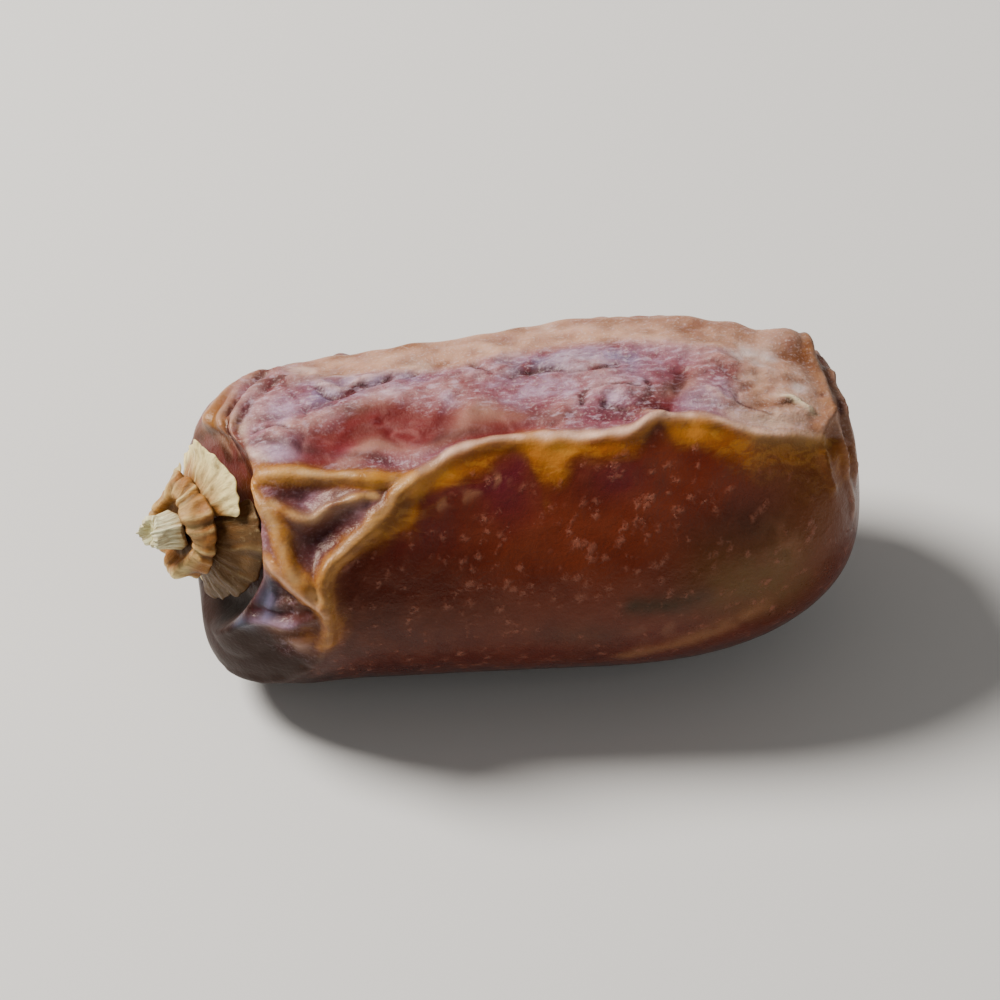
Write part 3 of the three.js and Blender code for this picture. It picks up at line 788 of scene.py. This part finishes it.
MAGENTA = srgb(124, 52, 70)
ROSE = srgb(134, 68, 68)
RED = srgb(104, 24, 28)
CRUMPLE = srgb(190, 128, 122)
BRICK = srgb(100, 32, 30)
BEIGE = srgb(188, 142, 116)
CREAM = srgb(218, 184, 160)
TIP_BROWN = srgb(100, 54, 24)
SLATE = srgb(70, 78, 96)
CELL = srgb(72, 34, 28)
CREASE_DARK = srgb(62, 24, 26)

# soft noise in three sizes of patch, which breaks up the colours
mottle = cloudy(plump, 2.2, 21)
broad = cloudy(plump, 7, 22)
small = cloudy(plump, 1.0, 23)


def coat(over, amount):
    """Lays a coat of colour on the fruit, in patches placed as the hollows are and in strokes drawn as
    the folds are."""
    paint(tint, over, amount)


# the flesh seen through the taut skin: russet in the middle, and tawny with a dark smudge towards the tip;
# near black low down by the cap and along the underside is painted shade, and in broad patches its own tone
tint = np.tile(DEEP_RED, (len(plump), 1))
coat(UNDER_BLOOM, underneath)
# painted shade: near black low on the front towards the cap, and along the underside
painted_shade_low_left = smooth(along, 24, 8) * smooth(degrees, 50, 5) * facing
low = smooth(-from_below, -78, -42)
coat(NEAR_BLACK, painted_shade_low_left * 0.45 + smooth(broad, 0.3, 1.5) * 0.25 + low * 0.88)
coat(RUSSET, (blob(22, 32, 6, 5) + 0.6 * blob(29, 42, 5, 4)) * (0.7 + 0.25 * mottle))
coat(WINE, (blob(24.5, 56, 1.8, 1.2) + blob(18.3, 54, 1.5, 1.6)) * 0.8 + blob(13, 48, 2, 2) * 0.5)
coat(NEAR_BLACK, blob(31.5, 34, 3.2, 1.6) * 0.6)
coat(TAWNY, (blob(30.8, 14, 2.6, 2.6) + blob(34.4, 4, 2.4, 2.6) + 0.6 * blob(34.4, 26, 1.6, 1.8)) * 0.95)
strip = stroke(0.7, [(25, -17), (28, -13), (30.5, -9), (33, -5)]) * smooth(small + mottle, -1.6, 0.6)
coat(OLIVE_TAN, strip * 0.3)
coat(TAWNY_PINK, strip * 0.4 + blob(26.6, -2, 1.6, 1.0) * smooth(small, 0.1, 0.9) * 0.35)
coat(TAWNY_PINK, blob(34.5, 26, 1.6, 1.8) * smooth(small, -0.2, 0.6) * 0.6)
coat(SMUDGE, stroke(0.75, [(25, 10), (26.6, 8.5), (28, 8), (29, 10)]) * 0.8 + 0.4 * blob(22, -3, 2.6, 1))
coat(RUSSET, blob(33.8, 55, 2.6, 1.8) * 0.9)
coat(GINGER, blob(36.6, 44, 2.6, 4.5) * 0.85)

# the dusty loose skin, with wine red showing in its hollows
hollowed = 1 - smooth(coarse, 0.3, 0.75)
coat(LILAC, upper * (0.9 + 0.1 * mottle))
coat(ROSE, upper * (smooth(mottle + broad, -0.2, 1.4) * 0.45 + 0.25 * hollowed))
coat(PALE_LILAC, upper * smooth(small - mottle, 0.5, 1.8) * 0.5)
blue = stroke(1.3, [(8.6, 106), (10, 109), (12, 111), (14, 112)])
blue += stroke(1.3, [(19.5, 107), (22.5, 104), (25.5, 103)])
coat(BLUE_GREY, blue * smooth(mottle + 0.5 * small, -1.6, 0.4) * 0.8)
# painted highlight: a pale lilac line along the crest of the blue plate
coat(PALE_LILAC, stroke(0.5, [(8.3, 112), (8.9, 107.5), (9.9, 106.5), (11, 111)]) * 0.9)

# the back: mauve brown, with slate and rose patches
coat(UNDER_BLOOM, back)
coat(BLOOM, back * (0.3 + 0.6 * smooth(coarse + 0.15 * mottle + 0.1 * small, 0.1, 0.9)))
coat(SLATE, back * smooth(broad - 0.4 * mottle, 0.0, 1.4) * 0.5)
coat(ROSE, back * smooth(-broad + 0.3 * small, 0.3, 1.4) * 0.35)

# the red trough behind the golden ridge, and the magenta pools beside it
coat(BRICK, 1.2 * trough)
coat(RED, trough * smooth(mottle + 0.8 * small, -0.9, 0.4) * 0.75)
coat(RED, (blob(15.5, 80, 1.3, 1.1) + 0.6 * blob(8, 77, 1.2, 0.8)) * 0.8)
coat(CRUMPLE, trough * squiggle * 0.16)
coat(MAGENTA, stroke(0.8, [(9.5, 72), (12, 71), (13.5, 71)]) * 0.7)
coat(MAGENTA, (blob(21.9, 78, 1.3, 0.8) + 0.6 * blob(23.2, 85, 0.6, 1.2) + blob(25.8, 80, 1.2, 0.8)) * 0.6)
coat(PALE_LILAC, blob(24.8, 84.5, 1.0, 0.8) * 0.5)
coat(MAGENTA, stroke(0.6, [(20, 75.5), (21.6, 75.5), (23, 75), (25.6, 75)]) * 0.7)

# the beige skin of the far edge and of the facet by the tip
coat(BEIGE, np.clip(beige, 0, 1) * (0.95 + 0.05 * mottle))
coat(ROSE, beige * smooth(small + broad, 0.1, 1.6) * 0.35)
coat(CREAM, beige * smooth(broad - mottle, 0.0, 1.6) * 0.6)
coat(TIP_BROWN, beige * smooth(-fine, -0.45, -0.1) * 0.3)
coat(TIP_BROWN, stroke(0.8, [(24, 131), (28, 127), (33, 121)]) * 0.5)

# the red groove that ends the trough, and the stains and pale folds of the facet, the palest lines of which
# are painted highlights
groove = stroke(0.9, [(27.7, 78), (28.3, 83), (28.7, 88), (29, 94)])
coat(RED, groove * 0.95)
coat(RED, blob(26.8, 80, 0.9, 1.1) * 0.8)
coat(VIOLET, blob(29.6, 80.5, 1.0, 0.8) * 0.95)
# painted highlight: a pale lilac line beside the violet patch
coat(PALE_LILAC, stroke(0.35, [(29.2, 77.5), (30, 77), (30.8, 77)]) * 0.6)
coat(ROSE, blob(31.3, 99, 1.6, 1.2) * 0.5)
coat(TIP_BROWN, blob(32.7, 90, 1.3, 1.4) * smooth(small, -0.2, 1.0) * 0.6)
# painted highlight: a pale grey line along the far folds of the facet
facet_highlight = stroke(0.8, [(32.8, 106), (34.4, 103), (35.4, 96), (35.7, 88)])
coat(HIGHLIGHT_GREY, facet_highlight * smooth(small + 0.5 * mottle, -1.2, 0.8) * 0.8)
coat(CREAM, stroke(0.7, [(31.4, 74), (33.4, 71), (35.6, 71)]) * 0.6)
# painted highlight along the crest of the tent
coat(CREAM, stroke(0.5, [(34.6, 84), (35.6, 83), (36.6, 79)]) * 0.6)

# the pale plate behind the web
coat(PALE_LILAC, blob(5.3, 79, 1.1, 1.2) * 0.8 + blob(6.1, 99, 0.9, 1.3) * 0.5)
coat(ROSE, blob(5.2, 86.5, 0.8, 0.5) * 0.5)
coat(CREAM, stroke(0.5, [(3.7, 100), (3.6, 90), (3.7, 80), (4.6, 73)]) * 0.6)

# the tip's end
coat(TAWNY_PINK, tip_side * 0.9)
coat(TIP_BROWN, tip_side * (smooth(-fine, -0.6, -0.2) * 0.5 + smooth(mottle, -0.2, 1.0) * 0.4))
coat(BEIGE, blob(37.4, 76, 1.2, 2.6) * smooth(small, -1.2, 0.4) * 0.9)
coat(TIP_BROWN, blob(36.3, 112, 1.5, 1.9) * (0.8 + 0.2 * mottle))

# the collar round the cap, and the amber of the shoulder
collar = smooth(along, 3.9, 3.1) * smooth(degrees, 55, 68) * smooth(degrees, 150, 128)
coat(TIP_BROWN, collar * (0.85 + 0.15 * mottle))
coat(CELL, collar * smooth(small + mottle, -0.9, 0.7) * 0.75)
coat(ROSE, collar * smooth(mottle - small, -0.4, 0.9) * 0.5)
coat(CORD, blob(2, 104, 1.0, 1.4) * 0.8 + stroke(0.5, [(1.4, 112), (3, 120), (5.5, 124)]) * 0.6)

# the corner below the cap: painted shade darkens it, and cold pale painted highlights lie along the edges
# of its folds
# painted shade in the corner below the cap
coat(CELL, smooth(along, 8.5, 6.2) * smooth(degrees, 34, 20) * smooth(degrees, -30, -10) * 0.9)
coat(NEAR_BLACK, smooth(along, 7, 5) * smooth(degrees, 8, 0) * smooth(degrees, -70, -50))
# painted highlights: slate blue glints on the small facets below the cap
coat(SLATE, blob(2.8, 17, 0.7, 1.1) * 0.9 + blob(1.7, 5, 1.0, 0.5) * 0.9 + blob(3.2, 27, 0.4, 0.8) * 0.6)
coat(BURNT_AMBER, stroke(0.3, [(4.6, 25.5), (5.2, 23), (6, 20.5)]) * 0.7)
# painted shade in the dark pits, and a painted wine shadow below the fold beside them
coat(NEAR_BLACK, (blob(1.8, 13, 0.6, 0.5) + blob(4.6, 2, 1.6, 0.8) + blob(4.0, 20, 0.8, 0.4)) * 0.9)
coat(WINE, blob(5.1, 19.5, 0.8, 0.4) * 0.8)
# painted highlights: pale lilac and blue-grey lines along the crests of the folds below the cap, broken
# into patches
glint_breakup = smooth(small + 0.5 * mottle, -0.9, 0.7)
coat(PALE_LILAC, stroke(0.2, [(1.9, 6.5), (2.6, 9.5), (3.7, 10), (5, 12.5), (5.6, 15)]) * glint_breakup * 0.7)
coat(BLUE_GREY, stroke(0.2, [(2.7, 11), (2.8, 16), (3.1, 22), (3.3, 29)]) * glint_breakup * 0.6)
coat(TAWNY_PINK, blob(3.4, 7.5, 0.7, 0.4) * 0.6)
coat(BURNT_AMBER, blob(4.6, 3, 1.1, 0.6) * smooth(small, -0.6, 0.6) * 0.7)

# the sunk cells of the web
web = smooth(along, 12.5, 11) * smooth(along, 4.2, 5) * smooth(degrees, 66, 63)
web *= smooth(degrees - ridge_turn, 0, 5)
coat(CELL, web * 0.9)
coat(LILAC, (blob(7, 58, 1.0, 0.5) + blob(9.8, 52, 0.9, 0.8)) * 0.65)
coat(WINE, blob(7.4, 43, 1.2, 0.9) * 0.6)

# the loose skin of a fold lets the light through: amber on its flanks, pale on its crest, where the pale is
# partly a painted highlight
front_side = -band["golden ridge"]
FLANK_WIDTHS = [  # mm from the base, and how far the amber runs down
    (6.5, 0.6), (8, 0.9), (10, 1.0), (12.5, 1.5), (14, 1.9), (16.5, 1.9), (17.8, 1.3), (18.8, 0.7),
    (19.6, 1.1), (20.3, 3.0), (21.2, 2.8), (22.2, 1.6), (25, 1.3), (26.4, 0.9), (27.2, 0.5), (28, 1.4),
    (30, 1.7), (32, 2.1), (34, 2.6), (36, 3.0), (38, 3.2),
]
flank = np.interp(along, *zip(*FLANK_WIDTHS)) * (1 + 0.14 * mottle + 0.08 * small)
gold = smooth(front_side, -0.1, 0.35) * (1 - smooth(front_side, 0.3 * flank, 1.5 * flank))
gold *= smooth(along, 6, 7)
for name in ("web, upper", "web, left", "low below the web"):
    gold = np.maximum(gold, 0.9 * np.exp(-((band[name] / 0.75) ** 4)))
gold = np.maximum(gold, 0.7 * on_crest("low web, middle", 0.4))
gold = np.maximum(gold, 0.95 * on_crest("golden ridge", 0.6) * smooth(along, 14, 12))
gold = np.maximum(gold, blob(6.8, 21, 0.6, 1.5) + 0.7 * blob(5.4, 6, 0.8, 0.8))
gold *= smooth(degrees, -7, 4)
gold = np.maximum(gold, 0.5 * on_crest("tip corner", 0.7))
for name in FAR_FOLDS:
    gold = np.maximum(gold, 0.55 * on_crest(name, 0.9) * smooth(mottle + broad, -1.4, 0.6))
gold = np.clip(gold * (0.88 + 0.12 * knobbly), 0, 1)
coat(BURNT_AMBER, 1.6 * gold)
coat(AMBER, smooth(gold, 0.3, 1.0) * 0.95)
coat(CORD, smooth(gold, 0.4, 0.8) * smooth(along, 13.5, 12) * 0.9)

# the web's cords, paler on top as a painted highlight
cord_highlight = np.maximum(on_crest("web, upper", 0.28), on_crest("web, left", 0.34))
cord_highlight = np.maximum(cord_highlight, on_crest("low web, middle", 0.26))
coat(CORD_PALE, cord_highlight * (0.42 + 0.3 * small + 0.2 * mottle))
coat(BURNT_AMBER, gold * smooth(mottle + 0.3 * small, 0.0, 1.3) * 0.6)
coat(HONEY, smooth(gold, 0.5, 0.9) * smooth(-mottle + 0.3 * small, 0.1, 1.4) * 0.6)
coat(HONEY, 0.5 * (blob(29.3, 68, 1.2, 0.6) + blob(21, 66, 0.8, 1.2) + blob(14.5, 63, 1.2, 0.5)
                   + blob(19.8, 70, 0.7, 0.7)))

# ginger and olive tan below the facet
tip_band = smooth(along, 31, 33.5) * smooth(along, 38.5, 37)
coat(GINGER, gold * tip_band * 0.95)
fading = smooth(front_side, -0.1, 0.2) * (1 - smooth(front_side, 0.3, 1.3))
coat(OLIVE_TAN, fading * tip_band * (0.55 + 0.15 * mottle + 0.1 * small))

# a wine line and a row of pale dots below the gold
coat(WINE, stroke(0.35, [(13.4, 55), (15, 57), (16.8, 56), (18.4, 58), (19.2, 63)]) * 0.6)
dotted = stroke(0.3, [(13.6, 49.5), (14.5, 53), (15.8, 54.5), (17.1, 57), (18.2, 58.5)])
coat(TAWNY_PINK, dotted * smooth(cloudy(plump, 0.6, 24), -0.2, 0.7) * 0.7)

# the crests: pale where the bloom is worn off, and partly a painted highlight along them and on the tops of
# the wrinkles
coat(CORD_PALE, on_crest("golden ridge", 0.24) * smooth(along, 6, 8) * 0.3)
top = on_crest("golden ridge", 0.22) * smooth(along, 12.5, 15.5) * smooth(along, 37, 35)
top *= 0.6 + 0.4 * smooth(small + 0.4 * mottle, -0.7, 0.5)
top *= 1 - 0.8 * bell(along - 19.8, 0.6)
for name, strength in (
        ("shoulder", 0.3), ("shoulder, far", 0.3), ("tip corner", 0.4), ("low blue plate", 0.5),
        ("low below the web", 0.5), ("low shoulder, inner", 0.35), ("low shoulder, outer", 0.4),
        ("low tip, upper", 0.35), ("low tip, lower", 0.35), ("low node", 0.45), ("low facet", 0.4)):
    top = np.maximum(top, strength * on_crest(name, 0.24))
for name in FAR_FOLDS:
    top = np.maximum(top, 0.35 * on_crest(name, 0.3))
coat(FOLD_PALE, top * (0.8 + 0.2 * small))
coat(FOLD_PALE, coarse**5 * clear * ends * (0.3 * upper + 0.25 * back))

# painted shade: darker in the seams between the pillows and in the creases
coat(CREASE_DARK, seams * ends * clear * (1 - beige) * (0.8 * upper + 0.5 * back))
coat(TIP_BROWN, seams * ends * clear * beige * 0.7)
coat(CREASE_DARK, smooth(crease, 0.05, 0.17) * 0.8)

# the little tent by the tip, with a painted highlight on its crest and a painted shadow beside it
coat(BONE_HIGHLIGHT, stroke(0.22, [(34.9, 83), (35.7, 80.5), (36.3, 76.5)]) * 0.85)
coat(TIP_BROWN, stroke(0.13, [(33.8, 77), (34.5, 79), (35, 80.4), (35.6, 77.6), (36.1, 73.6)]) * 0.6)
# painted shade: near black low on the front towards the cap
coat(NEAR_BLACK, smooth(degrees, -8, -22) * smooth(along, 11, 6) * facing * 0.9)

# where sugar has come out in specks
sugar = sum(blob(*spot, 1.1, 1.0) for spot in (
    (22.6, 48), (26.4, 44), (27.2, 57), (17.2, 37), (22.5, 32), (26.1, 27), (18.2, 23), (16.4, 15),
    (14.4, 16), (22.3, 19), (29.2, 49), (34.5, 26)))

# the other masks that the material reads
sheltered = np.maximum(smooth(along, 8, 4) * smooth(degrees, 6, -4) * facing, 0.85 * trough)
dust = np.clip(upper + 0.35 * back + beige, 0, 1) * (1 - 0.85 * gold) * (1 - 0.75 * web)
dust *= 1 - np.maximum(0.93 * trough, 0.75 * groove)
dust *= 1 - 0.5 * smooth(along, 8, 6) * smooth(degrees, 34, 26)
for name, values in (("sugar", sugar), ("beige", beige), ("gold", gold), ("taut", taut),
                     ("sheltered", sheltered), ("dust", dust)):
    mask(fruit_mesh, name, np.clip(values, 0, 1))

skin = Nodes("dried skin")
spot = skin.millimetres()
lengthways = skin.millimetres((0.5, 1, 1))
dust, beige, is_taut, is_gold, sugar, sheltered = map(
    skin.attribute, ("dust", "beige", "taut", "gold", "sugar", "sheltered"))
bare = skin.math("SUBTRACT", is_taut, is_gold, clamp=True)
blotch = skin.noise(spot, 1.6, 5, 0.65)
grain = skin.noise(spot, 0.2, 4, 0.6)
streak = skin.noise(lengthways, 0.6, 4, 0.62, 0.8)
slow = skin.noise(spot, 3.5, 2, 0.5)


def flecked(colour, pattern, low, high, region, share, fleck_colour, blend_type="MIX"):
    """The skin's colour, flecked with another where a pattern runs from low to high in a region."""
    amount = skin.times(skin.between(pattern, low, high), skin.times(region, share))
    return skin.mix(amount, colour, fleck_colour, blend_type)


# the bloom lies in specks, and is rubbed thin here and there so that the red flesh shows through
colour = skin.attribute("tint", "Color")
worn = skin.math("SUBTRACT", dust, skin.times(beige, 0.7), clamp=True)
rubbed = skin.math("ADD", blotch, skin.times(streak, 0.5))
colour = flecked(colour, rubbed, 0.7, 0.95, worn, 0.7, srgb(116, 44, 50))
fleck = skin.noise(lengthways, 0.34, 3, 0.6)
colour = flecked(colour, fleck, 0.5, 0.68, worn, 0.36, srgb(96, 40, 48))
colour = flecked(colour, fleck, 0.47, 0.32, worn, 0.4, srgb(206, 180, 196))
colour = flecked(colour, grain, 0.5, 0.72, dust, 0.3, srgb(228, 208, 204))
colour = flecked(colour, streak, 0.6, 0.3, worn, 0.3, srgb(150, 110, 130), "MULTIPLY")
colour = flecked(colour, blotch, 0.4, 0.65, bare, 0.25, srgb(112, 54, 34))
colour = flecked(colour, streak, 0.45, 0.62, is_gold, 0.25, srgb(206, 146, 60))

# pale specks of sugar under the taut skin, a few everywhere and most in the clusters
wavering = skin.add("ShaderNodeVectorMath", {0: spot, 1: skin.noise(spot, 0.3, 3, 0.6)}, operation="ADD")
dots = skin.between(skin.cells(wavering.outputs["Vector"], 0.7), 0.54, 0.1)
strewn = skin.math("ADD", skin.noise(spot, 1.1, 3, 0.6), skin.times(sugar, 0.13))
specks = skin.times(skin.times(dots, skin.between(strewn, 0.5, 0.64)), bare)
colour = skin.mix(skin.times(specks, 0.55), colour, srgb(156, 96, 76))

# glossiest where the skin is taut and bare
gloss = skin.math("ADD", 0.3, skin.times(dust, 0.2))
gloss = skin.math("ADD", gloss, skin.times(skin.math("SUBTRACT", blotch, 0.5), 0.2))
gloss = skin.math("ADD", gloss, skin.times(beige, 0.06))
gloss = skin.math("ADD", gloss, skin.times(sheltered, 0.3), clamp=True)

# fine relief, from the grain of the skin to the slow dents of its taut side
relief = skin.bump(grain, 0.012)
relief = skin.bump(skin.times(streak, skin.math("ADD", dust, 0.25)), 0.06, relief)
relief = skin.bump(skin.times(fleck, dust), 0.05, relief)
relief = skin.bump(blotch, 0.1, relief)
relief = skin.bump(skin.times(slow, is_taut), 0.2, relief)
relief = skin.bump(specks, 0.03, relief)
skin.shade({
    "Base Color": colour,
    "Roughness": gloss,
    "Normal": relief,
    "IOR": 1.34,
    "Specular Tint": (1, 0.82, 0.66, 1),
    "Subsurface Weight": 0.08,
    "Subsurface Radius": (1.0, 0.35, 0.2),
    "Subsurface Scale": 0.8 * MM,
})
finish("fruit", fruit_mesh, dried, tint, skin.material, "skin")

# ------------------------------
# The stand: a plain pale floor, soft studio lights and the camera.
bm = bmesh.new()
bmesh.ops.create_grid(bm, x_segments=1, y_segments=1, size=1.5)
floor_mesh = as_mesh("floor", bm)
paper = Nodes("pale paper")
paper.shade({"Base Color": (0.78, 0.76, 0.73, 1), "Roughness": 0.8})
floor_mesh.materials.append(paper.material)
linked("floor", floor_mesh)

sky = bpy.data.worlds.new("soft room")
sky.use_nodes = True
background = sky.node_tree.nodes["Background"].inputs
background["Color"].default_value = (1, 0.98, 0.95, 1)
background["Strength"].default_value = 0.18
bpy.context.scene.world = sky

CENTRE = (Vector(cad_box[0]) + Vector(cad_box[1])) / 2


def lamp(name, place, size, watts, colour):
    data = bpy.data.lights.new(name, "AREA")
    data.shape = "DISK"
    data.size = size
    data.energy = watts
    data.color = colour
    light = linked(name, data)
    light.location = CENTRE + Vector(place)
    light.rotation_euler = (-Vector(place)).to_track_quat("-Z", "Y").to_euler()


lamp("key", (-0.24, 0.12, 0.3), size=0.16, watts=3.2, colour=(1, 0.97, 0.93))
lamp("fill", (0.3, -0.35, 0.25), size=0.4, watts=0.3, colour=(0.95, 0.97, 1))

CAMERA_AZIMUTH = math.radians(-6)
CAMERA_ELEVATION = math.radians(45)
CAMERA_DISTANCE = 0.41
FRAME_WIDTH = 0.058
line_of_sight = Vector((
    math.sin(CAMERA_AZIMUTH) * math.cos(CAMERA_ELEVATION),
    -math.cos(CAMERA_AZIMUTH) * math.cos(CAMERA_ELEVATION),
    math.sin(CAMERA_ELEVATION),
))
lens = bpy.data.cameras.new("camera")
lens.sensor_width = 36
lens.lens = lens.sensor_width * CAMERA_DISTANCE / FRAME_WIDTH
lens.clip_start = 0.01
camera = linked("camera", lens)
camera.location = CENTRE + CAMERA_DISTANCE * line_of_sight
camera.rotation_euler = (-line_of_sight).to_track_quat("-Z", "Y").to_euler()
bpy.context.scene.camera = camera
